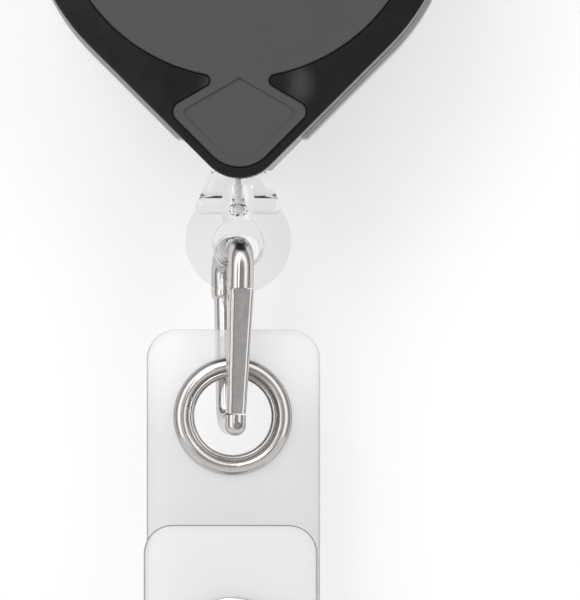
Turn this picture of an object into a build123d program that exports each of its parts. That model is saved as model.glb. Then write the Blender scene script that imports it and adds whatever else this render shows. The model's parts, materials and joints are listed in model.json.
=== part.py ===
from build123d import *
from math import acos, atan, atan2, cos, degrees, radians, sin, sqrt
import os

# Retractable badge reel on a carabiner, hanging. Millimetres, +Z up, +X to the viewer's right.
# The origin is on the spool axis, at the reel's flat back face; the front faces -Y.
# "Depth" below is the distance in front of the back face, so depth = -Y.

# ---- casing -------------------------------------------------------------------------------
CASE_R = 19.1            # round part of the casing
NOSE_R = 3.85            # rounded tip of the tapered nose
CASE_DEPTH = 12.6        # back face to front face
SPLIT_DEPTH = 5.0        # where the rear shell meets the front frame
REAR_GROW = 0.4          # the rear shell stands this far outside the frame
REAR_END_Z = -21.6       # square lower end of the rear shell
REAR_WALL = 1.5
BACK_CHAMFER = 0.7
BOSS_R = 3.6             # bearing bosses round the axle, on both walls
CAVITY_R = 16.4          # room for the spool
FRONT_WALL_BACK = 9.7
PLATE_BACK = 11.3        # floor of the recess that holds the face plate
OUTLET_Z = -24.4         # underside of the cord outlet
OUTLET_LIP_BACK = 9.5    # the nose's front lip hangs down in front of the outlet
OUTLET_BACK = 0.9
OUTLET_R = 1.2           # bore for the outlet's bush
BUSH_FLANGE = (1.9, 0.15)      # radius and thickness
BUSH_BORE_R = 0.75
EDGE_ROUND = 0.15
FRAME_FOOT_GAP = 0.05    # between the rear shell's lower end and the frame below it

# ---- face plate ---------------------------------------------------------------------------
DISC_R = 16.4
DIAMOND_TOP_Z = -15.53
DIAMOND_HALF_W = 6.51
DIAMOND_SIDE_Z = -19.29
DIAMOND_BOTTOM_Z = -25.8
NECK_CORNER = (1.4, -16.34)    # where the disc's edge crosses the diamond's upper edge
NECK_ROUND = 0.6
PLATE_GAP = 0.12         # groove round the face plate
PLATE_PROUD = 0.05
PAD_INSET = 0.75         # the sunken facet inside the diamond
PAD_SINK = 0.22          # its depth at the top; it runs out to nothing at the bottom
DISH_X = 3.7             # shallow dishes in the black webs beside the neck
DISH_Z = -16.9
DISH_R = 3.5
DISH_DEPTH = 0.26
PEG_R = 0.8
PEG_LENGTH = 1.2
PLATE_CHAMFER = 0.1
PEG_PLACES = [(-11.0, -6.0), (11.0, -6.0), (0.0, 12.0)]

# ---- spool, spring and cord ---------------------------------------------------------------
AXLE_R = 2.0
AXLE_ENDS = (0.6, 10.6)  # depths of its two ends, let into the walls
SPRING_ENDS = (3.3, 7.9) # depths of the mainspring's two sides
RUNNING_GAP = 0.05
FLANGE_R = 15.8
SPOOL_BACK = 1.9
SPOOL_FRONT = 9.1
FLANGE_T = 1.0
DRUM_R = 10.7
SPRING_ROOM_R = 9.8
LID_T = 0.8
LIGHTENING = (6, 1.3, 13.3)    # number of holes in the flanges, their radius and distance from the axle
SPRING_T = 0.22
SPRING_PITCH = 0.56
SPRING_START_R = 2.4
SPRING_HALF_TURNS = 24
CORD_R = 0.35
CORD_DEPTH = 5.5
CORD_X = -0.3
CORD_ROWS = 7
CORD_LAYERS = 3
CHANNEL_R = 0.75         # passage for the slanting run of cord
CORD_TURN_Z = -22.0      # the cord turns straight down here

# ---- case screws --------------------------------------------------------------------------
SCREW_PLACES = [(-6.6, -16.9), (6.6, -16.9), (0.0, 19.2)]
SCREW_R = 1.0
SCREW_HEAD_R = 1.9
SCREW_END = 9.2
HEAD_SUNK = 0.3          # the heads sit this far below the back face
NECK_DEPTH = 1.3
CROSS = (2.2, 0.45, 0.95)      # length, width and depth of the screws' cross recess
TOP_TAB_R = 3.0

# ---- carabiner ----------------------------------------------------------------------------
LOOP_BACK = 5.0
LOOP_FRONT = 10.5
LOOP_TOP_Z = 50.6
LOOP_BAR = 5.4
LOOP_ROUND = 1.3
LOOP_FOOT = (18.3, 4.0)
LOOP_TOP_X = 16.9
LOOP_CORNERS = (13.0, 11.0)    # rounding of the upper left and right corners
WINDOW_FOOT = (12.6, 10.0)
WINDOW_TOP_X = 11.7
WINDOW_CORNERS = (8.0, 6.0)
WINDOW_FLOOR_R = 22.3
GATE_X = 15.0
GATE_PIVOT_Z = 21.6
GATE_TOP_Z = 40.6
GATE_W = 4.8
GATE_PIN_R = 1.0
LUG_BACK = 6.5
LUG_FRONT = 9.0
GATE_GAP = 0.25
GATE_INSET = 0.15        # the gate is this much thinner than the loop on each side
GATE_EDGE_ROUND = 0.9
GATE_POCKET = (1.4, 1.6, 9.0)  # pocket for the spring: reach left and right of the pin, and height
LUG_DROP = 3.0           # the lug's foot is centred this far below the pin
LEAF_T = 0.3
LEAF_STEPS = [(0, 0), (0, 1.2), (1.38, 4.2), (1.38, 6.2)]  # the leaf's path up from the lug

# ---- clear end fitting: wings, bead, tube, ring and disc in one moulding -------------------
WING_TOP = (2.5, -24.6)  # half width and height of the wings' upper end
WING_END = (3.62, -27.1)
WING_HALF_T = 0.95
WING_ROUND = 0.8
BEAD_HALF_W = 3.95       # thick bar along the wings' lower end
BEAD_TOP_Z = -27.05
BEAD_END_Z = -28.45
BEAD_HALF_T = 1.3
BEAD_ROUND = 0.64
TUBE_R = 1.58
TUBE_TOP_Z = -25.85
TUBE_END_Z = -29.2
KNOT_Z = -28.1
KNOT_R = 0.62
CORD_HOLE_R = 0.4
RING_Z = -31.3
RING_R = 2.35
RING_HALF_T = 1.6
RING_ROUND = 0.18
RING_HOLE_ROUND = 0.12
HOLE_Z = -31.7
HOLE_W = 3.9
HOLE_H = 2.55
DISC_Z = -30.9
DISC_EDGE_R = 4.8
DISC_HALF_T = 0.6

# ---- metal hook, drawn in its own frame with its top bar at the origin --------------------
HOOK_X = -0.66
HOOK_YAW = 13.0
HOOK_LEAN = 1.2
TOP_BAR_R = 1.18         # from the gate's upper end over the ring to the shoulder behind
LEG_R = 0.95             # back leg, lower bend and nose
FRONT_Y = -3.2
FRONT_END_Z = -3.5
BACK_Y = 5.2
LOWER_BEND = (1.95, -15.95)
NOSE_Y = -2.1
SHOULDER = (4.4, -3.95)
TOP_BENDS = [1.7, 2.4]
LOWER_BEND_R = 1.9
NOSE_TOP_Z = -15.0
DIMPLE_R = 0.36
DIMPLE_BORE = 0.8
HOOK_PIN = (-3.2, -4.4)        # depth and height of the gate's pin
HOOK_PIN_R = 0.35
TONGUE_HALF_W = 0.5
TONGUE_HALF_D = 0.5
HOOK_GATE_TOP = (2.25, 2.0)    # width and depth of the gate at its upper end
HOOK_GATE_END = (1.73, 1.6)    # and at its free end
HOOK_GATE_ROUND = 0.42
HOOK_GATE_TOP_Z = -3.6
HOOK_GATE_END_Y = -2.15
HOOK_GATE_END_Z = -14.86
HOOK_GATE_SLOPE = 15.0         # its upper end falls away behind, to clear the bar as it opens
GATE_FACE_T = 0.42             # front wall of the gate where it is hollowed for the tongue
SPRING_BORE = (-2.9, 0.5)      # depth and radius of the bore for the gate's spring

# ---- vinyl strap --------------------------------------------------------------------------
STRAP_X = -0.8
STRAP_W = 15.7
STRAP_T = 0.5
STRAP_DEPTH = 4.6        # middle of the back layer
STRAP_TOP_Z = -39.0
STRAP_CORNER_R = 2.7
FLAP_X = -0.98
FLAP_DEPTH = 6.8         # middle of the front layer
FLAP_TOP_Z = -56.7
FOLD_Z = -90.9           # centre of the fold at the bottom
FLAP_HINGE_Z = -90.45
GROMMET_X = -0.84
GROMMET_Z = -46.9
GROMMET_HOLE_R = 3.52
GROMMET_BARREL_R = 3.85
GROMMET_R = 5.4
GROMMET_CREST_R = 4.58
GROMMET_RISE = 0.65
SNAP_Z = -68.2
SNAP_CAP_R = 5.0
SNAP_KNOB_R = 1.6
SNAP_STEM_R = 1.0
SNAP_HOLE_R = 1.2
SOCKET_R = 3.7
SOCKET_T = 0.95
STUD_R = 3.5
STUD_T = 0.4
KNOB_H = 0.75
POST_R = 3.9
POST_T = 0.45
FLAP_CORNER_R = 2.6


def slab(sketch, back, front):
    """A flat outline in X and Z, made solid between two depths."""
    return extrude(Plane.XZ.offset(back) * sketch, amount=front - back, dir=(0, -1, 0))


def rod(x, z, radius, back, front):
    """A round bar along the depth."""
    return slab(Pos(x, z) * Circle(radius), back, front)


def upright(x, depth, radius, low, high):
    """A round bar along Z."""
    return Pos(x, -depth, low) * Cylinder(radius, high - low, align=(Align.CENTER, Align.CENTER, Align.MIN))


def block(x0, x1, back, front, z0, z1):
    """A plain box between two corners."""
    return Pos((x0 + x1) / 2, -(back + front) / 2, (z0 + z1) / 2) * Box(x1 - x0, front - back, z1 - z0)


def corner(sketch, x, z):
    """The corner of an outline that is nearest a point."""
    return min(sketch.vertices(), key=lambda v: (v.X - x) ** 2 + (v.Y - z) ** 2)


def turned(points_and_arcs, axis_x=0.0, axis_z=0.0):
    """A profile of (radius, depth) turned about an axis that runs along the depth."""
    profile = make_face(Plane(origin=(0, 0, 0), x_dir=(1, 0, 0), z_dir=(0, 0, 1)) * points_and_arcs)
    return Pos(axis_x, 0, axis_z) * revolve(profile, Axis.Y, 360)


def ring(inner, outer, back, front):
    """A flat ring about the spool axis."""
    return slab(Circle(outer) - Circle(inner), back, front)


# ---- casing -------------------------------------------------------------------------------
def casing_outline(grow=0.0):
    """A circle that runs into two 45 degree flanks and a rounded tip."""
    radius = CASE_R + grow
    tangent = radius / sqrt(2)
    tip = -radius * sqrt(2)
    outline = Circle(radius) + Polygon((-tangent, -tangent), (0, tip), (tangent, -tangent), align=None)
    return fillet(corner(outline, 0, tip), NOSE_R + grow)


def diamond(inset=0.0, side_round=0.9, tip_round=3.4):
    """The four-sided lower end of the face plate, or the pad inside it."""
    shift = inset / cos(radians(45))
    slope = (DIAMOND_TOP_Z - DIAMOND_SIDE_Z) / DIAMOND_HALF_W
    top = DIAMOND_TOP_Z - inset * 1.16
    bottom = DIAMOND_BOTTOM_Z + shift
    half = (top - bottom) / (1 + slope)
    side = bottom + half
    shape = Polygon((0, top), (-half, side), (0, bottom), (half, side), align=None)
    shape = fillet(corner(shape, 0, bottom), tip_round)
    for sign in (-1, 1):
        shape = fillet(corner(shape, sign * half, side), side_round)
    return shape


def face_outline():
    """A disc, a narrow neck and the diamond below it, as one outline."""
    shape = Circle(DISC_R) + diamond()
    for sign in (-1, 1):
        shape = fillet(corner(shape, sign * NECK_CORNER[0], NECK_CORNER[1]), NECK_ROUND)
    return shape


def rounded_top(foot, top_x, top_z, corners):
    """A four-sided outline that narrows upwards, with its two upper corners rounded."""
    foot_x, foot_z = foot
    shape = Polygon((-foot_x, foot_z), (-top_x, top_z), (top_x, top_z), (foot_x, foot_z), align=None)
    shape = fillet(corner(shape, -top_x, top_z), corners[0])
    return fillet(corner(shape, top_x, top_z), corners[1])


def carabiner_outline():
    """The hanging loop above the casing, with its window and the gap for the gate."""
    outer = rounded_top(LOOP_FOOT, LOOP_TOP_X, LOOP_TOP_Z, LOOP_CORNERS)
    window = rounded_top(WINDOW_FOOT, WINDOW_TOP_X, LOOP_TOP_Z - LOOP_BAR, WINDOW_CORNERS)
    return outer - (window - Circle(WINDOW_FLOOR_R))


def gate_gap():
    """What is cut out of the loop so that the gate can stand in it and swing inwards."""
    half = GATE_W / 2 + GATE_GAP
    height = GATE_TOP_Z - GATE_PIVOT_Z + GATE_GAP
    shaft = Pos(GATE_X + 1.0, GATE_PIVOT_Z + height / 2) * Rectangle(2 * half + 6, height)
    return shaft + Pos(GATE_X, GATE_PIVOT_Z) * Circle(half)


def main_frame():
    below_rear = Pos(0, REAR_END_Z - FRAME_FOOT_GAP - 10) * Rectangle(60, 20)
    body = slab(casing_outline(), SPLIT_DEPTH, CASE_DEPTH)
    front_edges = body.faces().sort_by(Axis.Y)[0].edges()
    body = fillet(front_edges, EDGE_ROUND)
    loop = slab(carabiner_outline(), LOOP_BACK, LOOP_FRONT)
    rims = loop.faces().sort_by(Axis.Y)
    loop = fillet(rims[0].edges() + rims[-1].edges(), LOOP_ROUND)
    body += loop - slab(gate_gap(), LOOP_BACK - 1, LOOP_FRONT + 1)
    body += slab(Pos(GATE_X, GATE_PIVOT_Z) * Circle(GATE_W / 2), LUG_BACK, LUG_FRONT)
    lug_foot = Pos(GATE_X, GATE_PIVOT_Z - LUG_DROP) * Rectangle(GATE_W - 1, 2 * LUG_DROP)
    body += slab(lug_foot, LUG_BACK, LUG_FRONT)
    body += slab(casing_outline() & below_rear, OUTLET_BACK, SPLIT_DEPTH)
    body -= slab(Circle(CAVITY_R), SPLIT_DEPTH, FRONT_WALL_BACK)
    body -= block(-10, 10, 0, OUTLET_LIP_BACK, -30, OUTLET_Z)
    body += ring(AXLE_R, BOSS_R, SPOOL_FRONT + RUNNING_GAP, FRONT_WALL_BACK)
    body -= rod(0, 0, AXLE_R, SPLIT_DEPTH, AXLE_ENDS[1])
    for side in (-1, 1):
        body -= Pos(side * DISH_X, -CASE_DEPTH, DISH_Z) * web_dish()
    body -= slab(offset(face_outline(), PLATE_GAP), PLATE_BACK, CASE_DEPTH + 1)
    for x, z in PEG_PLACES:
        body -= rod(x, z, PEG_R, PLATE_BACK - PEG_LENGTH, PLATE_BACK)
    for x, z in SCREW_PLACES:
        body -= rod(x, z, SCREW_R, SPLIT_DEPTH, SCREW_END)
    body -= rod(GATE_X, GATE_PIVOT_Z, GATE_PIN_R, LOOP_BACK, LOOP_FRONT)
    body -= upright(0, CORD_DEPTH, OUTLET_R, OUTLET_Z, REAR_END_Z)
    return body - cord_channel()


def web_dish():
    """What is cut for one dish: its rim runs almost flat into the casing's front."""
    bowl = Spline((0, DISH_DEPTH), (DISH_R, -0.01), tangents=((1, 0), (1, -0.01)))
    rest = Polyline((DISH_R, -0.01), (DISH_R, -1), (0, -1), (0, DISH_DEPTH))
    return turned(bowl + rest)


def cord_touch():
    """Where the straight run of cord leaves the winding, as X and Z."""
    wound = winding_r() + CORD_R + 0.02
    reach = sqrt(CORD_X ** 2 + CORD_TURN_Z ** 2)
    angle = atan2(CORD_TURN_Z, CORD_X) + acos(wound / reach)
    return wound * cos(angle), wound * sin(angle)


def winding_r():
    """Outer radius of the wound cord."""
    return DRUM_R + (2 * CORD_LAYERS) * CORD_R + 0.1


def cord_run(radius, extend):
    """A straight round bar from the winding to the turn above the outlet."""
    x, z = cord_touch()
    run = Vector(x - CORD_X, 0, z - CORD_TURN_Z)
    start = Vector(CORD_X, -CORD_DEPTH, CORD_TURN_Z) - run.normalized() * extend
    plane = Plane(origin=start, z_dir=run)
    return extrude(plane * Circle(radius), amount=run.length + extend)


def cord_channel():
    """The passage in the nose for the slanting run of cord."""
    return cord_run(CHANNEL_R, 0.6) - rod(0, 0, CAVITY_R - 0.2, 0, CASE_DEPTH)


def rear_outline():
    lower_end = Pos(0, REAR_END_Z - 10) * Rectangle(60, 20)
    return casing_outline(REAR_GROW) - lower_end + Pos(0, SCREW_PLACES[2][1] - 0.2) * Circle(TOP_TAB_R)


def rear_shell():
    body = slab(rear_outline(), 0, SPLIT_DEPTH)
    back_edges = body.faces().sort_by(Axis.Y)[-1].edges()
    body = chamfer(back_edges, BACK_CHAMFER)
    body -= slab(Circle(CAVITY_R), REAR_WALL, SPLIT_DEPTH)
    body += slab(Circle(BOSS_R), REAR_WALL, SPOOL_BACK - RUNNING_GAP)
    body -= rod(0, 0, AXLE_R, AXLE_ENDS[0], SPLIT_DEPTH)
    for x, z in SCREW_PLACES:
        body -= screw_shape(x, z, SPLIT_DEPTH) + rod(x, z, SCREW_HEAD_R, -1, HEAD_SUNK)
    return body - cord_channel()


def screw_shape(x, z, end):
    """A countersunk head and its shank; also the hole that it sits in."""
    head = Plane.XZ.offset(HEAD_SUNK) * Circle(SCREW_HEAD_R)
    neck = Plane.XZ.offset(NECK_DEPTH) * Circle(SCREW_R)
    cone = loft([head.faces()[0], neck.faces()[0]])
    return Pos(x, 0, z) * (cone + rod(0, 0, SCREW_R, NECK_DEPTH, end))


def case_screws():
    """Three countersunk screws from the back, with cross recesses."""
    length, width, depth = CROSS
    cross = slab(Rectangle(length, width) + Rectangle(width, length), 0, depth)
    screws = []
    for x, z in SCREW_PLACES:
        screws.append(screw_shape(x, z, SCREW_END) - Pos(x, 0, z) * cross)
    return Compound(children=screws)


def face_plate():
    face = CASE_DEPTH + PLATE_PROUD
    body = slab(face_outline(), PLATE_BACK, face)
    front_edges = body.faces().sort_by(Axis.Y)[0].edges()
    body = chamfer(front_edges, PLATE_CHAMFER)
    top = DIAMOND_TOP_Z - PAD_INSET
    tilt = degrees(atan(PAD_SINK / (top - DIAMOND_BOTTOM_Z)))
    above_facet = Pos(0, -face, DIAMOND_BOTTOM_Z) * Rot(-tilt, 0, 0) * Pos(0, -5, 0) * Box(30, 10, 40)
    body -= slab(diamond(PAD_INSET, 0.5, 2.6), PLATE_BACK + 0.5, face + 1) & above_facet
    for x, z in PEG_PLACES:
        body += rod(x, z, PEG_R, PLATE_BACK - PEG_LENGTH, PLATE_BACK)
    return body


# ---- spool, spring and cord ---------------------------------------------------------------
def spool_axle():
    slot = block(0.2, AXLE_R + 1, SPRING_ENDS[0] - 0.1, SPRING_ENDS[1] + 0.1, -SPRING_T, 0.0)
    return rod(0, 0, AXLE_R, *AXLE_ENDS) - slot


def spool():
    bore = AXLE_R + RUNNING_GAP
    body = ring(bore, FLANGE_R, SPOOL_BACK, SPOOL_BACK + FLANGE_T)
    body += ring(SPRING_ROOM_R, DRUM_R, SPOOL_BACK, SPOOL_FRONT)
    body += ring(SPRING_ROOM_R, FLANGE_R, SPOOL_FRONT - FLANGE_T, SPOOL_FRONT)
    count, hole_r, hole_x = LIGHTENING
    for turn in range(count):
        place = Rot(0, 360 / count * turn, 0) * Pos(hole_x, 0, 0)
        body -= place * slab(Circle(hole_r), SPOOL_BACK - 1, SPOOL_FRONT + 1)
    return body


def spool_lid():
    return ring(AXLE_R + RUNNING_GAP, SPRING_ROOM_R, SPOOL_FRONT - LID_T, SPOOL_FRONT)


def mainspring():
    """A flat spiral strip, drawn as half circles that grow, with a tongue in the axle's slot."""
    step = SPRING_PITCH / 2
    sides = []
    for edge in (-SPRING_T / 2, SPRING_T / 2):
        for half in range(SPRING_HALF_TURNS):
            radius = SPRING_START_R + half * step + edge
            start = 180 * (half % 2)
            sides.append(CenterArc(((half % 2) * step, 0), radius, start, 180))
    inner = SPRING_START_R - SPRING_T / 2
    outer_r = SPRING_START_R + (SPRING_HALF_TURNS - 1) * step
    outer_x = step + outer_r
    sides.append(Line((inner, 0), (inner + SPRING_T, 0)))
    sides.append(Line((outer_x - SPRING_T / 2, 0), (outer_x + SPRING_T / 2, 0)))
    strip = make_face(sides)
    tongue = Pos((0.3 + inner + SPRING_T) / 2, -SPRING_T / 2) * Rectangle(inner + SPRING_T - 0.3, SPRING_T)
    return slab(strip + tongue, *SPRING_ENDS)


def cord_winding():
    """The wound cord: full layers, with the top layer's turns showing as ridges."""
    base = winding_r() - CORD_R
    width = 2 * CORD_R * CORD_ROWS
    centre = SPOOL_BACK + SPOOL_FRONT
    section = Pos((DRUM_R + base) / 2, -centre / 2) * Rectangle(base - DRUM_R, width)
    for row in range(CORD_ROWS):
        across = (row - (CORD_ROWS - 1) / 2) * 2 * CORD_R
        section += Pos(base, across - centre / 2) * Circle(CORD_R)
    return revolve(section, Axis.Y, 360)


def cord_inner_run():
    slanting = cord_run(CORD_R, 1.0)
    return slanting & block(-20, 20, 0, CASE_DEPTH, CORD_TURN_Z, 10)


def cord_lead():
    return upright(CORD_X, CORD_DEPTH, CORD_R, KNOT_Z, CORD_TURN_Z) - cord_knot()


def cord_knot():
    return Pos(CORD_X, -CORD_DEPTH, KNOT_Z) * Sphere(KNOT_R)


def outlet_bush():
    flange_r, flange_t = BUSH_FLANGE
    body = upright(0, CORD_DEPTH, OUTLET_R, OUTLET_Z, CORD_TURN_Z - 0.05)
    body += upright(0, CORD_DEPTH, flange_r, OUTLET_Z - flange_t, OUTLET_Z)
    return body - upright(0, CORD_DEPTH, BUSH_BORE_R, OUTLET_Z - 1, REAR_END_Z)


# ---- carabiner gate -----------------------------------------------------------------------
def carabiner_gate():
    length = GATE_TOP_Z - GATE_PIVOT_Z
    shape = Pos(GATE_X, GATE_PIVOT_Z + length / 2) * Rectangle(GATE_W, length)
    shape += Pos(GATE_X, GATE_PIVOT_Z) * Circle(GATE_W / 2)
    body = slab(shape, LOOP_BACK + GATE_INSET, LOOP_FRONT - GATE_INSET)
    body = fillet(body.edges().filter_by(Axis.Z), GATE_EDGE_ROUND)
    room = Pos(GATE_X, GATE_PIVOT_Z) * Circle(GATE_W / 2 + 0.3)
    room += Pos(GATE_X, GATE_PIVOT_Z - LUG_DROP) * Rectangle(9, 2 * LUG_DROP)
    body -= slab(room, LUG_BACK - 0.1, LUG_FRONT + 0.1)
    left, right, height = GATE_POCKET
    body -= block(GATE_X - left, GATE_X + right, LUG_BACK, LUG_FRONT, GATE_PIVOT_Z, GATE_PIVOT_Z + height)
    return body - rod(GATE_X, GATE_PIVOT_Z, GATE_PIN_R + RUNNING_GAP, 0, CASE_DEPTH)


def carabiner_gate_pin():
    return rod(GATE_X, GATE_PIVOT_Z, GATE_PIN_R, LOOP_BACK + GATE_INSET, LOOP_FRONT - GATE_INSET)


def carabiner_gate_spring():
    """A steel leaf from the lug up to the outer wall of the gate's pocket."""
    foot = GATE_PIVOT_Z + GATE_W / 2
    path = Polyline(*[(GATE_X + x, foot + z) for x, z in LEAF_STEPS])
    leaf = slab(trace(path, line_width=LEAF_T), LUG_BACK + 0.4, LUG_FRONT - 0.4)
    return leaf - block(0, 30, 0, CASE_DEPTH, foot - 2, foot)


# ---- clear end fitting --------------------------------------------------------------------
def about_cord(sketch, half_t, rounding):
    """A flat shape centred on the cord, with its long edges rounded."""
    body = slab(Pos(CORD_X, 0) * sketch, CORD_DEPTH - half_t, CORD_DEPTH + half_t)
    faces = body.faces().sort_by(Axis.Y)
    return fillet(faces[0].edges() + faces[-1].edges(), rounding)


def ring_boss(hole):
    """The thick ring that the hook hangs in."""
    boss = about_cord(Pos(0, RING_Z) * Circle(RING_R), RING_HALF_T, RING_ROUND)
    boss -= slab(hole, 0, CASE_DEPTH)
    faces = boss.faces().sort_by(Axis.Y)
    rims = [face.inner_wires()[0].edges() for face in (faces[0], faces[-1])]
    return fillet(rims[0] + rims[1], RING_HOLE_ROUND)


def cord_end_fitting():
    """The clear moulding that stops the cord at the nose and holds its knot and the hook."""
    top_x, top_z = WING_TOP
    end_x, end_z = WING_END
    wings = Polygon((-top_x, top_z), (-end_x, end_z), (end_x, end_z), (top_x, top_z), align=None)
    body = about_cord(wings, WING_HALF_T, WING_ROUND)
    bead_h = BEAD_TOP_Z - BEAD_END_Z
    bead = Pos(0, BEAD_END_Z + bead_h / 2) * SlotOverall(2 * BEAD_HALF_W, bead_h)
    body += about_cord(bead, BEAD_HALF_T, BEAD_ROUND)
    body += upright(CORD_X, CORD_DEPTH, TUBE_R, TUBE_END_Z, TUBE_TOP_Z)
    hole = Pos(CORD_X, HOLE_Z) * SlotOverall(HOLE_W, HOLE_H)
    disc = Pos(CORD_X, DISC_Z) * Circle(DISC_EDGE_R) - Pos(CORD_X, BEAD_END_Z + 5.2) * Rectangle(20, 10)
    disc -= Pos(CORD_X, RING_Z) * Circle(RING_R - 0.35)
    body += slab(disc, CORD_DEPTH - DISC_HALF_T, CORD_DEPTH + DISC_HALF_T)
    body += ring_boss(hole)
    body -= slab(hole, 0, CASE_DEPTH)
    body -= upright(CORD_X, CORD_DEPTH, CORD_HOLE_R, KNOT_Z, WING_TOP[1] + 1)
    return body - Pos(CORD_X, -CORD_DEPTH, KNOT_Z) * Sphere(KNOT_R + 0.02)


# ---- metal hook ---------------------------------------------------------------------------
def place_hook(shape):
    return Pos(HOOK_X, -CORD_DEPTH, HOLE_Z) * Rot(0, 0, HOOK_YAW) * Rot(0, HOOK_LEAN, 0) * shape


def bent_bar(points, bends, radius):
    """A round bar along points of (depth, height) in the hook's own plane."""
    path = FilletPolyline(*[(0, y, z) for y, z in points], radius=bends)
    return sweep(Plane(origin=path @ 0, z_dir=path % 0) * Circle(radius), path=path)


def on_pin(shape):
    return Pos(0, *HOOK_PIN) * shape


def hook_body():
    """One cast bar: a thick top bend with a tongue, a back leg, the lower bend and the nose."""
    body = bent_bar([(FRONT_Y, FRONT_END_Z), (FRONT_Y, 0.0), (BACK_Y, 0.0), SHOULDER], TOP_BENDS, TOP_BAR_R)
    end = (NOSE_Y, LOWER_BEND[1])
    leg_top = (SHOULDER[0] + 0.1, SHOULDER[1] + 0.6)
    body += bent_bar([leg_top, LOWER_BEND, end], [LOWER_BEND_R], LEG_R)
    body += Pos(0, *SHOULDER) * Sphere(TOP_BAR_R)
    body += Pos(0, *end) * Sphere(LEG_R)
    body += Pos(0, *end) * Cylinder(LEG_R, NOSE_TOP_Z - end[1], align=(Align.CENTER, Align.CENTER, Align.MIN))
    body += on_pin(Rot(0, 90, 0) * Cylinder(TONGUE_HALF_D, 2 * TONGUE_HALF_W))
    drop = FRONT_END_Z - HOOK_PIN[1]
    body += on_pin(Pos(0, 0, drop / 2) * Box(2 * TONGUE_HALF_W, 2 * TONGUE_HALF_D, drop))
    body -= on_pin(Rot(0, 90, 0) * Cylinder(HOOK_PIN_R + RUNNING_GAP, 4))
    return body - Pos(0, end[0] - LEG_R, end[1]) * Rot(90, 0, 0) * Cylinder(DIMPLE_R, DIMPLE_BORE)


def hook_gate():
    """A tapered channel: its front wall hides the pin, and its hollow takes the tongue."""
    top_section = RectangleRounded(*HOOK_GATE_TOP, HOOK_GATE_ROUND)
    end_section = RectangleRounded(*HOOK_GATE_END, HOOK_GATE_ROUND)
    top = Plane.XY.offset(HOOK_GATE_TOP_Z) * (Pos(0, FRONT_Y) * top_section)
    low = Plane.XY.offset(HOOK_GATE_END_Z) * (Pos(0, HOOK_GATE_END_Y) * end_section)
    body = loft([top.faces()[0], low.faces()[0]])
    face_y = FRONT_Y - HOOK_GATE_TOP[1] / 2
    above = Pos(0, face_y, HOOK_GATE_TOP_Z) * Rot(-HOOK_GATE_SLOPE, 0, 0)
    body -= above * Box(6, 12, 2, align=(Align.CENTER, Align.CENTER, Align.MIN))
    size = (2 * TONGUE_HALF_W + 0.1, 3.0, HOOK_GATE_TOP_Z + 0.5 - HOOK_PIN[1] + TONGUE_HALF_D + 0.3)
    hollow = Pos(0, face_y + GATE_FACE_T, HOOK_GATE_TOP_Z + 0.5)
    body -= hollow * Box(*size, align=(Align.CENTER, Align.MIN, Align.MAX))
    body -= Pos(0, SPRING_BORE[0], HOOK_PIN[1] - 2.2) * Cylinder(SPRING_BORE[1], 3.4)
    return body - on_pin(Rot(0, 90, 0) * Cylinder(HOOK_PIN_R, 4))


def hook_gate_pin():
    return on_pin(Rot(0, 90, 0) * Cylinder(HOOK_PIN_R, 2.1))


def hook_gate_spring():
    """A small coil spring in the gate's bore, below the tongue."""
    coil = Helix(pitch=0.42, height=2.8, radius=0.36)
    section = Plane(origin=coil @ 0, z_dir=coil % 0) * Circle(0.07)
    return Pos(0, SPRING_BORE[0], HOOK_PIN[1] - 3.8) * sweep(section, path=coil)


# ---- vinyl strap --------------------------------------------------------------------------
def strap_panel(x, depth, low, high, corner_r):
    """One flat layer of the strap with two rounded upper corners."""
    height = high - low
    shape = Pos(x, (low + high) / 2) * Rectangle(STRAP_W, height)
    for sign in (-1, 1):
        shape = fillet(corner(shape, x + sign * STRAP_W / 2, high), corner_r)
    return slab(shape, depth - STRAP_T / 2, depth + STRAP_T / 2)


def strap():
    """The back layer, with the fold at its lower end."""
    body = strap_panel(STRAP_X, STRAP_DEPTH, FOLD_Z, STRAP_TOP_Z, STRAP_CORNER_R)
    mid_r = (FLAP_DEPTH - STRAP_DEPTH) / 2
    outer = Circle(mid_r + STRAP_T / 2) - Circle(mid_r - STRAP_T / 2)
    half = outer & Pos(0, -5) * Rectangle(10, 10)
    origin = (STRAP_X - STRAP_W / 2, -(STRAP_DEPTH + mid_r), FOLD_Z)
    place = Plane(origin=origin, x_dir=(0, -1, 0), z_dir=(-1, 0, 0))
    body += extrude(place * half, amount=-STRAP_W)
    body -= rod(GROMMET_X, GROMMET_Z, GROMMET_BARREL_R, 0, CASE_DEPTH)
    return body - rod(STRAP_X, SNAP_Z, SNAP_HOLE_R, 0, STRAP_DEPTH + 1)


def strap_flap():
    """The front layer, up to its rounded free end."""
    body = strap_panel(FLAP_X, FLAP_DEPTH, FLAP_HINGE_Z + 0.25, FLAP_TOP_Z, FLAP_CORNER_R)
    return body - rod(STRAP_X, SNAP_Z, SNAP_STEM_R, 0, CASE_DEPTH)


def grommet_front():
    """The eyelet: an outer slope, a narrow crest, a steep inner slope and the barrel's lip."""
    face = -(STRAP_DEPTH + STRAP_T / 2)
    barrel_end = -(STRAP_DEPTH - STRAP_T / 2 - 0.35)
    foot = (GROMMET_R, face - 0.12)
    crest = (GROMMET_CREST_R, face - GROMMET_RISE)
    lip = (4.0, face - 0.28)
    bore = (GROMMET_HOLE_R, face - 0.05)
    outer_slope = ThreePointArc(foot, (5.08, face - 0.47), crest)
    inner_slope = ThreePointArc(crest, (4.2, face - 0.5), lip)
    roll = ThreePointArc(lip, (3.68, face - 0.25), bore)
    rest = Polyline(
        bore,
        (GROMMET_HOLE_R, barrel_end),
        (GROMMET_BARREL_R, barrel_end),
        (GROMMET_BARREL_R, face),
        (GROMMET_R, face),
        foot,
    )
    return turned(outer_slope + inner_slope + roll + rest, GROMMET_X, GROMMET_Z)


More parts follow.
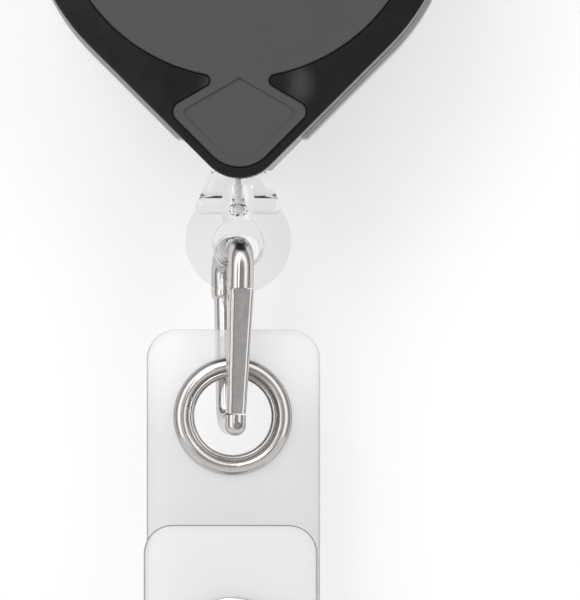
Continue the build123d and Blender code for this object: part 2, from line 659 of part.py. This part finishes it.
def grommet_back():
    """The washer that the barrel is rolled over."""
    face = -(STRAP_DEPTH - STRAP_T / 2)
    edge_r = GROMMET_R - 0.1
    rim = ThreePointArc((GROMMET_BARREL_R, face + 0.4), (4.6, face + GROMMET_RISE), (edge_r, face))
    rest = Polyline((edge_r, face), (GROMMET_BARREL_R, face), (GROMMET_BARREL_R, face + 0.4))
    return turned(rim + rest, GROMMET_X, GROMMET_Z)


def snap_cap():
    """The domed front of the snap, with the stem that holds it to the flap."""
    face = -(FLAP_DEPTH + STRAP_T / 2)
    rim = (SNAP_CAP_R - 0.1, face - 0.35)
    stem_end = face + 0.9
    dome = ThreePointArc((0, face - 1.15), (3.0, face - 0.98), rim)
    rest = Polyline(
        rim,
        (SNAP_CAP_R, face),
        (SNAP_STEM_R, face),
        (SNAP_STEM_R, stem_end),
        (0, stem_end),
        (0, face - 1.15),
    )
    return turned(dome + rest, STRAP_X, SNAP_Z)


def snap_disc(radius, back, front):
    return rod(STRAP_X, SNAP_Z, radius, back, front)


def snap_socket():
    """The ring behind the flap that the stud's knob clicks into."""
    top = FLAP_DEPTH - STRAP_T / 2
    body = snap_disc(SOCKET_R, top - SOCKET_T, top)
    body -= snap_disc(SNAP_STEM_R, top - 0.4, top)
    return body - snap_disc(SNAP_KNOB_R + 0.15, top - 1, top - 0.4)


def snap_stud():
    """A flange on the strap's front with the knob that fills the socket."""
    face = STRAP_DEPTH + STRAP_T / 2
    body = snap_disc(STUD_R, face, face + STUD_T)
    body += snap_disc(SNAP_KNOB_R, face + STUD_T, face + STUD_T + KNOB_H)
    return body - snap_disc(SNAP_STEM_R, face, face + 0.7)


def snap_post():
    """The rivet from behind the strap into the stud."""
    face = STRAP_DEPTH - STRAP_T / 2
    body = snap_disc(POST_R, face - POST_T, face)
    body += snap_disc(SNAP_HOLE_R, face, face + STRAP_T)
    return body + snap_disc(SNAP_STEM_R, face + STRAP_T, face + STRAP_T + 0.7)


ROOT_AND_SPOOL = [
    main_frame, rear_shell, face_plate, case_screws, outlet_bush,
    carabiner_gate, carabiner_gate_pin, carabiner_gate_spring,
    spool_axle, spool, spool_lid, mainspring, cord_winding, cord_inner_run,
]
FITTING_AND_STRAP = [
    cord_lead, cord_knot, cord_end_fitting,
    strap, strap_flap, grommet_front, grommet_back, snap_cap, snap_socket, snap_stud, snap_post,
]
HOOK = [hook_body, hook_gate, hook_gate_pin, hook_gate_spring]


def main():
    os.makedirs("parts", exist_ok=True)
    for maker in ROOT_AND_SPOOL + FITTING_AND_STRAP:
        export_step(maker(), f"parts/{maker.__name__}.step")
    for maker in HOOK:
        export_step(place_hook(maker()), f"parts/{maker.__name__}.step")


main()
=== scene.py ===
import json
from math import cos, pi, radians, sin

import bpy
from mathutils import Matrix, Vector
from mathutils.geometry import delaunay_2d_cdt


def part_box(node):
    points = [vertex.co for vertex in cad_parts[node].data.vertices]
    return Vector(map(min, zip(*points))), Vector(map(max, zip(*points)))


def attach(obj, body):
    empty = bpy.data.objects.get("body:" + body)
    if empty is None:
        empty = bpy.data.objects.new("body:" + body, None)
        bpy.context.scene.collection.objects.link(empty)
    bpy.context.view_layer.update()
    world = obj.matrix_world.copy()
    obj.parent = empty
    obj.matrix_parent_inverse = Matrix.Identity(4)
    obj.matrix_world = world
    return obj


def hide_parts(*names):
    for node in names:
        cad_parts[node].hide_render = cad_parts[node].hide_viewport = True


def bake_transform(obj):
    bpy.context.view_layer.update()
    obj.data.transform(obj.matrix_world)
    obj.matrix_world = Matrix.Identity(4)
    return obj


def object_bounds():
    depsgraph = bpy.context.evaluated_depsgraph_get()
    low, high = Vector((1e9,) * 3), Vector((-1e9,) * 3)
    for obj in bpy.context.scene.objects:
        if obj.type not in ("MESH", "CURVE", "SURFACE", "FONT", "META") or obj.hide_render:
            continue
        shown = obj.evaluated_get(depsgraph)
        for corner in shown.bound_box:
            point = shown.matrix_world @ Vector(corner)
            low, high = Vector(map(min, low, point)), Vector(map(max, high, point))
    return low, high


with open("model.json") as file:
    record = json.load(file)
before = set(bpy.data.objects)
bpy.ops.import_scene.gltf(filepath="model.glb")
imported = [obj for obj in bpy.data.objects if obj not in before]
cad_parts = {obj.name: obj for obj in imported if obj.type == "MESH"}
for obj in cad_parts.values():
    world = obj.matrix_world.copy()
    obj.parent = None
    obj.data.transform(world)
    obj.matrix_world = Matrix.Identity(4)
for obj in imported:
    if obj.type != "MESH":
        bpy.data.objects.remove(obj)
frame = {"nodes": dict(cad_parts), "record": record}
cad_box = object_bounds()

MM = 0.001

# ---- camera, stage and light --------------------------------------------------------------
VIEW_HEIGHT = 54.5 * MM              # height of the picture at the object
VIEW_FROM_FITTING = Vector((4.7, -0.5, -6.15)) * MM    # picture's centre, from the clear fitting's middle
CAMERA_DISTANCE = 400.0 * MM
CAMERA_AZIMUTH = radians(1.0)
SENSOR = 36.0
WALL_BEHIND = 5.5 * MM               # gap between the back face and the wall
STAGE_REACH = 1.6
CORNER_R = 0.08
FLOOR_BELOW = 0.64                   # the pulled-out cord stays above the floor
CORNER_STEPS = 16
STAGE_GREY = 0.62
KEY_LIGHT = ((-0.22, -0.62, 0.46), (0.34, 0.34), 0.8)      # place from the fitting, size, watts
STRIP_LIGHT = ((-0.20, -0.70, 0.05), (0.10, 0.50), 0.4)
# Brightness of the studio at these angles from the camera's side of the object, in degrees.
SURROUND = [(0, 0.38), (26, 0.44), (33, 1.00), (42, 1.75), (54, 1.70), (66, 0.55), (90, 0.22), (180, 0.50)]
SURROUND_PEAK = 1.8
WALL_GLOW = 0.38                     # the backdrop is lit through from behind
LEFT_BIAS = 0.08                     # how much brighter the studio is on the left than on the right

# ---- vinyl sheets -------------------------------------------------------------------------
SHEET_STEP = 0.9 * MM
EDGE_STEP = 0.25 * MM
VINYL_BEVEL = 0.09 * MM
UPPER_FADE = (11.0 * MM, 0.5 * MM)   # where the strap's painted light starts and ends its fade, from its top
STRAP_CORNER = 2.7 * MM
FLAP_CORNER = 2.6 * MM
CURL_WIDTH = 2.6 * MM                # the strap's long edges curl back over this width
CURL_DROP = 0.30 * MM
CURL_FADE = 15.0 * MM                # the curl fades out over this height above the fold
GROMMET_BARREL_R = 3.85 * MM
POST_R = 1.2 * MM
CAP_STEM_R = 1.0 * MM
ARC_STEPS = 12                       # along each rounded corner of a panel
SPLIT_ANGLE = radians(-35.0)         # where the fold passes from the strap's sheet to the flap's

# ---- cord and leaf spring -----------------------------------------------------------------
CORD_STEPS = 160
KNOT_STEPS = 96
KNOT_STRAND = 0.36                   # strand's radius, as a share of the knot's
LEAF_T = 0.3 * MM
LEAF_STEPS = 24


# ---- camera -------------------------------------------------------------------------------
def middle(node):
    low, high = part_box(node)
    return (low + high) / 2


def make_camera():
    data = bpy.data.cameras.new("camera")
    data.sensor_width = SENSOR
    data.lens = SENSOR * CAMERA_DISTANCE / VIEW_HEIGHT
    data.clip_start = 0.01
    data.clip_end = 10.0
    camera = bpy.data.objects.new("camera", data)
    bpy.context.scene.collection.objects.link(camera)
    target = middle("cord_end_fitting") + VIEW_FROM_FITTING
    back = Vector((sin(CAMERA_AZIMUTH), -cos(CAMERA_AZIMUTH), 0.0))
    camera.location = target + back * CAMERA_DISTANCE
    camera.rotation_mode = "QUATERNION"
    camera.rotation_quaternion = (-back).to_track_quat("-Z", "Y")
    bpy.context.scene.camera = camera


make_camera()


# ---- node helpers -------------------------------------------------------------------------
class Paint:
    """One procedural material: its Principled shader and short calls that add nodes."""

    def __init__(self, name, colour, roughness, **values):
        self.material = bpy.data.materials.new(name)
        self.material.use_nodes = True
        self.tree = self.material.node_tree
        self.shader = self.tree.nodes["Principled BSDF"]
        self.shader.inputs["Base Color"].default_value = (*colour, 1.0)
        self.shader.inputs["Roughness"].default_value = roughness
        for key, value in values.items():
            self.shader.inputs[key.replace("_", " ")].default_value = value
        self.colour = colour
        self.roughness = roughness

    def add(self, kind, inputs=None, **settings):
        node = self.tree.nodes.new(kind)
        for key, value in settings.items():
            setattr(node, key, value)
        for key, value in (inputs or {}).items():
            if isinstance(value, bpy.types.NodeSocket):
                self.tree.links.new(value, node.inputs[key])
            else:
                node.inputs[key].default_value = value
        return node

    def noise(self, size, detail=3.0, stretch=(1.0, 1.0, 1.0)):
        """Noise with features of about this size in metres."""
        place = self.add("ShaderNodeTexCoord")
        scaled = self.add("ShaderNodeMapping", {"Vector": place.outputs["Object"], "Scale": stretch})
        pattern = {"Vector": scaled.outputs[0], "Scale": 1.0 / size, "Detail": detail}
        return self.add("ShaderNodeTexNoise", pattern).outputs[0]

    def ranged(self, value, low, high):
        steps = {"Value": value, "From Min": 0.3, "From Max": 0.7, "To Min": low, "To Max": high}
        return self.add("ShaderNodeMapRange", steps).outputs[0]

    def mottle(self, size, amount):
        """The colour varies by this share over patches of this size."""
        darker = [c * (1 - amount) for c in self.colour] + [1.0]
        lighter = [min(1.0, c * (1 + amount)) for c in self.colour] + [1.0]
        mix = self.add("ShaderNodeMix", {"Factor": self.noise(size)}, data_type="RGBA")
        mix.inputs[6].default_value = darker
        mix.inputs[7].default_value = lighter
        self.tree.links.new(mix.outputs[2], self.shader.inputs["Base Color"])

    def lighter_above(self, colour, start_z, end_z):
        """The colour fades to this one between two heights."""
        place = self.add("ShaderNodeTexCoord")
        split = self.add("ShaderNodeSeparateXYZ", {"Vector": place.outputs["Object"]})
        span = {"Value": split.outputs["Z"], "From Min": start_z, "From Max": end_z}
        height = self.add("ShaderNodeMapRange", span, interpolation_type="SMOOTHSTEP")
        mix = self.add("ShaderNodeMix", {"Factor": height.outputs[0]}, data_type="RGBA")
        base = self.shader.inputs["Base Color"].links[0].from_socket
        self.tree.links.new(base, mix.inputs[6])
        mix.inputs[7].default_value = (*colour, 1.0)
        self.tree.links.new(mix.outputs[2], self.shader.inputs["Base Color"])

    def rough_patches(self, size, amount, stretch=(1.0, 1.0, 1.0)):
        value = self.noise(size, 4.0, stretch)
        low, high = self.roughness - amount, self.roughness + amount
        self.tree.links.new(self.ranged(value, low, high), self.shader.inputs["Roughness"])

    def bumps(self, *layers):
        """Each layer is (feature size, depth, stretch), all in metres, added one on another."""
        normal = None
        for size, depth, stretch in layers:
            inputs = {"Height": self.noise(size, 2.0, stretch), "Distance": depth, "Strength": 1.0}
            if normal:
                inputs["Normal"] = normal
            normal = self.add("ShaderNodeBump", inputs).outputs[0]
        self.tree.links.new(normal, self.shader.inputs["Normal"])


EVEN = (1.0, 1.0, 1.0)


def moulded(name, colour, roughness, grain, depth, **values):
    """Injection-moulded plastic: fine spark texture, slight flow mottling, uneven gloss."""
    paint = Paint(name, colour, roughness, **values)
    paint.mottle(3.0 * MM, 0.05)
    paint.rough_patches(1.2 * MM, 0.04)
    paint.bumps((grain, depth, EVEN), (4.0 * MM, depth * 4, EVEN))
    return paint.material


def plated(name, colour, roughness, brushed=EVEN):
    """Nickel plate or polished steel: soft tool marks and slightly uneven gloss."""
    paint = Paint(name, colour, roughness, Metallic=1.0)
    paint.mottle(1.5 * MM, 0.04)
    paint.rough_patches(0.5 * MM, 0.04, brushed)
    paint.bumps((0.12 * MM, 0.0012 * MM, brushed), (1.6 * MM, 0.012 * MM, EVEN))
    return paint.material


def see_through(paint, share, tint=(1.0, 1.0, 1.0)):
    """Lets this share of the light straight through the surface."""
    clear = paint.add("ShaderNodeBsdfTransparent", {"Color": (*tint, 1.0)})
    output = paint.tree.nodes["Material Output"]
    mix = paint.add("ShaderNodeMixShader", {"Fac": share})
    paint.tree.links.new(paint.shader.outputs[0], mix.inputs[1])
    paint.tree.links.new(clear.outputs[0], mix.inputs[2])
    paint.tree.links.new(mix.outputs[0], output.inputs["Surface"])
    return mix


def clear_plastic():
    """Water-clear moulding; light that only casts shadows passes most of the way through."""
    paint = Paint("clear_moulding", (0.91, 0.915, 0.92), 0.03, Transmission_Weight=1.0, IOR=1.49)
    paint.rough_patches(0.8 * MM, 0.02)
    paint.bumps((0.9 * MM, 0.006 * MM, EVEN))
    mix = see_through(paint, 0.0, (0.94, 0.95, 0.96))
    rays = paint.add("ShaderNodeLightPath")
    paint.tree.links.new(rays.outputs["Is Shadow Ray"], mix.inputs["Fac"])
    return paint.material


def vinyl(name, colour, share, upper=None):
    """Frosted flexible vinyl with a faint calendered grain.

    An upper colour is painted light, not a change in the vinyl: the strap fades to it near its top.
    """
    paint = Paint(name, colour, 0.34, Specular_IOR_Level=0.45)
    paint.mottle(5.0 * MM, 0.015)
    if upper:
        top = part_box("strap")[1].z
        paint.lighter_above(upper, top - UPPER_FADE[0], top - UPPER_FADE[1])
    paint.rough_patches(2.0 * MM, 0.05)
    paint.bumps((0.22 * MM, 0.003 * MM, EVEN), (7.0 * MM, 0.05 * MM, EVEN))
    see_through(paint, share)
    return paint.material


def nylon():
    """White braided cord: diagonal strands and a soft sheen."""
    paint = Paint("nylon_cord", (0.95, 0.95, 0.94), 0.6, Sheen_Weight=0.4)
    paint.mottle(0.4 * MM, 0.06)
    place = paint.add("ShaderNodeTexCoord")
    turn = paint.add("ShaderNodeMapping", {"Vector": place.outputs["Object"], "Rotation": (0.0, 0.6, 0.0)})
    strands = {"Vector": turn.outputs[0], "Scale": 1.0 / (0.9 * MM), "Distortion": 2.0}
    wave = paint.add("ShaderNodeTexWave", strands, bands_direction="Z")
    bump = {"Height": wave.outputs[1], "Distance": 0.05 * MM, "Strength": 0.8}
    paint.tree.links.new(paint.add("ShaderNodeBump", bump).outputs[0], paint.shader.inputs["Normal"])
    return paint.material


BRUSHED_LONG = (1.0, 1.0, 0.08)

MATERIALS = {
    "case_black": moulded(
        "glossy_black", (0.005, 0.005, 0.0052), 0.22, 0.5 * MM, 0.0006 * MM, Specular_IOR_Level=0.4
    ),
    "shell_grey": moulded("satin_light_grey", (0.52, 0.52, 0.52), 0.42, 0.15 * MM, 0.003 * MM),
    "plate_grey": moulded("satin_dark_grey", (0.056, 0.056, 0.056), 0.5, 0.12 * MM, 0.004 * MM),
    "spool_white": moulded("natural_acetal", (0.76, 0.76, 0.73), 0.4, 0.2 * MM, 0.003 * MM),
    "screw_steel": plated("zinc_plate", (0.55, 0.55, 0.57), 0.28),
    "bush_steel": plated("polished_eyelet", (0.62, 0.62, 0.63), 0.2),
    "pin_steel": plated("ground_steel", (0.58, 0.57, 0.56), 0.24),
    "spring_steel": plated("spring_steel", (0.36, 0.38, 0.42), 0.3, BRUSHED_LONG),
    "nickel": plated("nickel_plate", (0.57, 0.55, 0.54), 0.15),
    "clear_plastic": clear_plastic(),
    # The strap's upper colour (0.96) is painted light: the strap is painted lighter towards its top.
    "frosted_vinyl": vinyl("frosted_vinyl", (0.65, 0.653, 0.656), 0.66, (0.96, 0.96, 0.96)),
    "cord_nylon": nylon(),
}
# The flap is the same sheet as the strap; its lighter colour stands for the stronger light on it.
FLAP_VINYL = vinyl("frosted_vinyl_flap", (0.93, 0.933, 0.936), 0.62)
# The cut edges are painted dark grey: painted shade that stands for the dark lines refraction draws along
# a clear sheet's edges.
VINYL_EDGE_SHADE = vinyl("vinyl_edge_painted_shade", (0.22, 0.23, 0.24), 0.1)


def dress_cad_nodes():
    for part in frame["record"]["subparts"]:
        for slot in frame["nodes"][part["node"]].material_slots:
            slot.material = MATERIALS[part["material_slot"]]


def stage_material():
    """Pale matt card that glows a little, invisible from behind so that it never hides the back."""
    glow = {"Emission_Color": (1.0, 1.0, 1.0, 1.0), "Emission_Strength": WALL_GLOW}
    paint = Paint("pale_card", (STAGE_GREY, STAGE_GREY, STAGE_GREY), 0.9, **glow)
    paint.mottle(60.0 * MM, 0.004)
    mix = see_through(paint, 0.0)
    facing = paint.add("ShaderNodeNewGeometry")
    paint.tree.links.new(facing.outputs["Backfacing"], mix.inputs["Fac"])
    return paint.material


# ---- mesh helpers -------------------------------------------------------------------------
def mesh_object(name, vertices, faces, materials, smooth=True):
    mesh = bpy.data.meshes.new(name)
    mesh.from_pydata([tuple(v) for v in vertices], [], faces)
    for material in materials:
        mesh.materials.append(material)
    mesh.polygons.foreach_set("use_smooth", [smooth] * len(mesh.polygons))
    piece = bpy.data.objects.new(name, mesh)
    bpy.context.scene.collection.objects.link(piece)
    return piece


def tube(name, points, radius, material, sides=20, closed=False):
    """A round tube along a list of points."""
    count = len(points)
    vertices = []
    side = Vector((1.0, 0.0, 0.0))
    for i, point in enumerate(points):
        before = points[i - 1] if i or closed else point
        after = points[(i + 1) % count] if i < count - 1 or closed else point
        along = (after - before).normalized()
        side = (side - along * side.dot(along)).normalized()
        up = along.cross(side)
        for k in range(sides):
            angle = 2 * pi * k / sides
            vertices.append(point + (side * cos(angle) + up * sin(angle)) * radius)
    faces = []
    for i in range(count if closed else count - 1):
        for k in range(sides):
            low = i * sides
            high = (i + 1) % count * sides
            faces.append((low + k, low + (k + 1) % sides, high + (k + 1) % sides, high + k))
    if not closed:
        faces.append(tuple(reversed(range(sides))))
        faces.append(tuple(range((count - 1) * sides, count * sides)))
    return mesh_object(name, vertices, faces, [material])


def with_modifiers(piece, *modifiers):
    """Adds each (kind, settings) modifier and leaves its result in the mesh."""
    for kind, settings in modifiers:
        modifier = piece.modifiers.new(kind.lower(), kind)
        for key, value in settings.items():
            setattr(modifier, key, value)
    ready = piece.evaluated_get(bpy.context.evaluated_depsgraph_get())
    piece.data = bpy.data.meshes.new_from_object(ready)
    piece.modifiers.clear()
    return piece


# ---- stage and light ----------------------------------------------------------------------
def make_stage():
    """A wall close behind the object that curves into a floor far below it."""
    low, high = cad_box
    wall_y = high.y + WALL_BEHIND
    floor_z = low.z - FLOOR_BELOW
    profile = [(wall_y, high.z + STAGE_REACH)]
    for step in range(CORNER_STEPS + 1):
        angle = pi / 2 * step / CORNER_STEPS
        y = wall_y - CORNER_R + CORNER_R * cos(angle)
        profile.append((y, floor_z + CORNER_R - CORNER_R * sin(angle)))
    profile.append((wall_y - STAGE_REACH, floor_z))
    vertices = [(side * STAGE_REACH, y, z) for y, z in profile for side in (-1, 1)]
    faces = [(2 * i, 2 * i + 2, 2 * i + 3, 2 * i + 1) for i in range(len(profile) - 1)]
    mesh_object("backdrop", vertices, faces, [stage_material()])


def area_light(name, place, size, power):
    data = bpy.data.lights.new(name, "AREA")
    data.shape = "RECTANGLE"
    data.size, data.size_y = size
    data.energy = power
    light = bpy.data.objects.new(name, data)
    bpy.context.scene.collection.objects.link(light)
    target = middle("cord_end_fitting")
    light.location = target + Vector(place)
    light.rotation_mode = "QUATERNION"
    light.rotation_quaternion = (-Vector(place)).to_track_quat("-Z", "Y")


def make_world():
    """Soft studio surround: dim behind the camera, a bright ring round that, quieter at the sides."""
    world = bpy.data.worlds.new("studio")
    bpy.context.scene.world = world
    world.use_nodes = True
    nodes, links = world.node_tree.nodes, world.node_tree.links
    place = nodes.new("ShaderNodeTexCoord")
    split = nodes.new("ShaderNodeSeparateXYZ")
    links.new(place.outputs["Generated"], split.inputs[0])
    depth = nodes.new("ShaderNodeMapRange")
    depth.inputs["From Min"].default_value = -1.0
    links.new(split.outputs["Y"], depth.inputs["Value"])
    ramp = nodes.new("ShaderNodeValToRGB")
    ramp.color_ramp.interpolation = "EASE"
    links.new(depth.outputs[0], ramp.inputs[0])
    stops = ramp.color_ramp.elements
    while len(stops) < len(SURROUND):
        stops.new(0.5)
    for stop, (angle, brightness) in zip(stops, SURROUND):
        stop.position = (1 - cos(radians(angle))) / 2
        stop.color = (*[brightness / SURROUND_PEAK] * 3, 1.0)
    bias = nodes.new("ShaderNodeMapRange")
    bias.inputs["From Min"].default_value = -1.0
    bias.inputs["To Min"].default_value = SURROUND_PEAK * (1 + LEFT_BIAS)
    bias.inputs["To Max"].default_value = SURROUND_PEAK * (1 - LEFT_BIAS)
    links.new(split.outputs["X"], bias.inputs["Value"])
    background = nodes["Background"]
    links.new(ramp.outputs[0], background.inputs["Color"])
    links.new(bias.outputs[0], background.inputs["Strength"])


def make_lights():
    make_world()
    area_light("key", *KEY_LIGHT)
    area_light("strip", *STRIP_LIGHT)


# ---- vinyl strap --------------------------------------------------------------------------
def strap_sizes():
    """The strap's and flap's sheets, read from their CAD solids."""
    strap_low, strap_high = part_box("strap")
    flap_low, flap_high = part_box("strap_flap")
    thickness = flap_high.y - flap_low.y
    back_y = strap_high.y - thickness / 2
    front_y = (flap_low.y + flap_high.y) / 2
    radius = (back_y - front_y) / 2
    return {
        "thickness": thickness,
        "back_y": back_y,
        "front_y": front_y,
        "radius": radius,
        "fold_z": strap_low.z + thickness / 2 + radius,
        "strap": (strap_low.x, strap_high.x, strap_high.z),
        "flap": (flap_low.x, flap_high.x, flap_high.z),
    }


def rounded_panel(x0, x1, top, bottom, corner):
    """The outline of a panel with two rounded upper corners, as (x, height) points."""
    points = [(x0, bottom), (x1, bottom)]
    rows = int((top - corner - bottom) / SHEET_STEP)
    points += [(x1, bottom + (top - corner - bottom) * i / rows) for i in range(1, rows)]
    for centre_x, start in ((x1 - corner, 0.0), (x0 + corner, pi / 2)):
        for step in range(ARC_STEPS + 1):
            angle = start + pi / 2 * step / ARC_STEPS
            points.append((centre_x + corner * cos(angle), top - corner + corner * sin(angle)))
    points += [(x0, bottom + (top - corner - bottom) * i / rows) for i in range(rows - 1, 0, -1)]
    return points


def flat_sheet(outline, holes, x0, x1, bottom, top):
    """Triangles that fill an outline and leave its round holes open."""
    points = list(outline)
    edges = [(i, (i + 1) % len(outline)) for i in range(len(outline))]
    for x, z, radius in holes:
        count = int(2 * pi * radius / EDGE_STEP)
        first = len(points)
        turns = [2 * pi * i / count for i in range(count)]
        points += [(x + radius * cos(turn), z + radius * sin(turn)) for turn in turns]
        edges += [(first + i, first + (i + 1) % count) for i in range(count)]
    columns = int((x1 - x0) / SHEET_STEP)
    rows = int((top - bottom) / (SHEET_STEP / 2))
    for row in range(1, rows):
        for column in range(1, columns):
            x = x0 + (x1 - x0) * column / columns
            z = bottom + (top - bottom) * row / rows
            clear = all((x - hx) ** 2 + (z - hz) ** 2 > (r + EDGE_STEP) ** 2 for hx, hz, r in holes)
            if clear and z < top - SHEET_STEP:
                points.append((x, z))
    found = delaunay_2d_cdt([Vector(p) for p in points], edges, [], 1, 1e-7)
    vertices, triangles = found[0], found[2]
    kept = []
    for triangle in triangles:
        centre = sum((vertices[i] for i in triangle), Vector((0.0, 0.0))) / 3
        if all((centre - Vector((hx, hz))).length > r * 0.99 for hx, hz, r in holes):
            kept.append(tuple(triangle))
    return vertices, kept


def thick_sheet(name, vertices, faces, thickness, material):
    """Gives a bent sheet its thickness and a fine bevel along its cut edges, which carry the painted edge
    shade.
    """
    piece = mesh_object(name, vertices, faces, [material, VINYL_EDGE_SHADE], smooth=False)
    solid = {"thickness": thickness, "offset": 0.0, "use_even_offset": True, "material_offset_rim": 1}
    bevel = {"width": VINYL_BEVEL, "segments": 2, "material": 1}
    bevel.update(limit_method="ANGLE", angle_limit=radians(50))
    with_modifiers(piece, ("SOLIDIFY", solid), ("BEVEL", bevel))
    for polygon in piece.data.polygons:
        polygon.use_smooth = polygon.material_index == 0
    return piece


def round_hole(node, radius):
    """A hole for a round node, as its middle and its radius in the sheet's plane."""
    centre = middle(node)
    return centre.x, centre.z, radius


def curl(x, x0, x1, above_fold):
    """How far back the sheet lies, because its long edges curl away from the front."""
    inward = min(x - x0, x1 - x)
    fade = min(1.0, above_fold / CURL_FADE) ** 2
    return CURL_DROP * fade * max(0.0, 1 - inward / CURL_WIDTH) ** 2


def strap_sheet(size):
    """The back layer and most of the fold; below the fold's centre, height is arc length."""
    x0, x1, top = size["strap"]
    fold = size["fold_z"]
    bottom = fold - (pi + SPLIT_ANGLE) * size["radius"]
    holes = [round_hole("grommet_front", GROMMET_BARREL_R), round_hole("snap_post", POST_R)]
    outline = rounded_panel(x0, x1, top, bottom, STRAP_CORNER)
    flat, triangles = flat_sheet(outline, holes, x0, x1, bottom, top)
    centre_y = (size["back_y"] + size["front_y"]) / 2
    bent = []
    for x, height in flat:
        if height >= fold:
            bent.append((x, size["back_y"] + curl(x, x0, x1, height - fold), height))
        else:
            angle = (fold - height) / size["radius"]
            bent.append((x, centre_y + size["radius"] * cos(angle), fold - size["radius"] * sin(angle)))
    piece = thick_sheet("strap_sheet", bent, triangles, size["thickness"], MATERIALS["frosted_vinyl"])
    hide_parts("strap")
    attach(piece, "strap")


def flap_sheet(size):
    """The front layer and the end of the fold."""
    x0, x1, top = size["flap"]
    fold = size["fold_z"]
    bottom = fold + SPLIT_ANGLE * size["radius"]
    outline = rounded_panel(x0, x1, top, bottom, FLAP_CORNER)
    flat, triangles = flat_sheet(outline, [round_hole("snap_cap", CAP_STEM_R)], x0, x1, bottom, top)
    centre_y = (size["back_y"] + size["front_y"]) / 2
    bent = []
    for x, height in flat:
        if height >= fold:
            bent.append((x, size["front_y"] + curl(x, x0, x1, height - fold), height))
        else:
            angle = (fold - height) / size["radius"]
            bent.append((x, centre_y - size["radius"] * cos(angle), fold - size["radius"] * sin(angle)))
    piece = thick_sheet("flap_sheet", bent, triangles, size["thickness"], FLAP_VINYL)
    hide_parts("strap_flap")
    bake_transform(piece)


# ---- cord ---------------------------------------------------------------------------------
def cord_line():
    """The cord from the outlet to its knot."""
    low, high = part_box("cord_lead")
    middle_x, middle_y = (low.x + high.x) / 2, (low.y + high.y) / 2
    heights = [high.z + (low.z - high.z) * i / CORD_STEPS for i in range(CORD_STEPS + 1)]
    points = [Vector((middle_x, middle_y, z)) for z in heights]
    piece = tube("cord_line", points, (high.x - low.x) / 2, MATERIALS["cord_nylon"], 16)
    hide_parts("cord_lead")
    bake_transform(piece)


def overhand_knot():
    """The stopper knot: a trefoil whose strand is thinner than the cord, so that it fits its seat."""
    low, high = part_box("cord_knot")
    centre = (low + high) / 2
    scale = (high.x - low.x) / 2
    strand = scale * KNOT_STRAND
    points = []
    for i in range(KNOT_STEPS):
        t = 2 * pi * i / KNOT_STEPS
        ring = 2 + cos(3 * t)
        local = Vector((ring * cos(2 * t), sin(3 * t), ring * sin(2 * t)))
        points.append(centre + local * (scale - strand) / 3)
    piece = tube("overhand_knot", points, strand, MATERIALS["cord_nylon"], 14, closed=True)
    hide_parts("cord_knot")
    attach(piece, "end_fitting")


# ---- carabiner gate's spring --------------------------------------------------------------
def leaf_spring():
    """A steel strip from the lug to the gate's outer wall."""
    low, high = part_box("carabiner_gate_spring")
    half_t = LEAF_T / 2
    start_x, end_x = low.x + half_t, high.x - half_t
    sections = []
    for i in range(LEAF_STEPS + 1):
        share = i / LEAF_STEPS
        ease = share * share * (3 - 2 * share)
        x = start_x + (end_x - start_x) * ease
        z = low.z + (high.z - low.z) * share
        sections.append((x, z))
    vertices = []
    for x, z in sections:
        for side, y in ((-1, low.y), (1, low.y), (1, high.y), (-1, high.y)):
            vertices.append((x + side * half_t, y, z))
    faces = [(0, 1, 2, 3), tuple(4 * LEAF_STEPS + k for k in (3, 2, 1, 0))]
    for i in range(LEAF_STEPS):
        for k in range(4):
            after = (k + 1) % 4
            faces.append((4 * i + k, 4 * i + 4 + k, 4 * i + 4 + after, 4 * i + after))
    piece = mesh_object("leaf_spring", vertices, faces, [MATERIALS["spring_steel"]], smooth=False)
    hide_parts("carabiner_gate_spring")
    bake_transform(piece)


def main():
    dress_cad_nodes()
    make_stage()
    make_lights()
    size = strap_sizes()
    strap_sheet(size)
    flap_sheet(size)
    cord_line()
    overhand_knot()
    leaf_spring()
    bpy.context.scene.view_settings.view_transform = "Standard"


main()
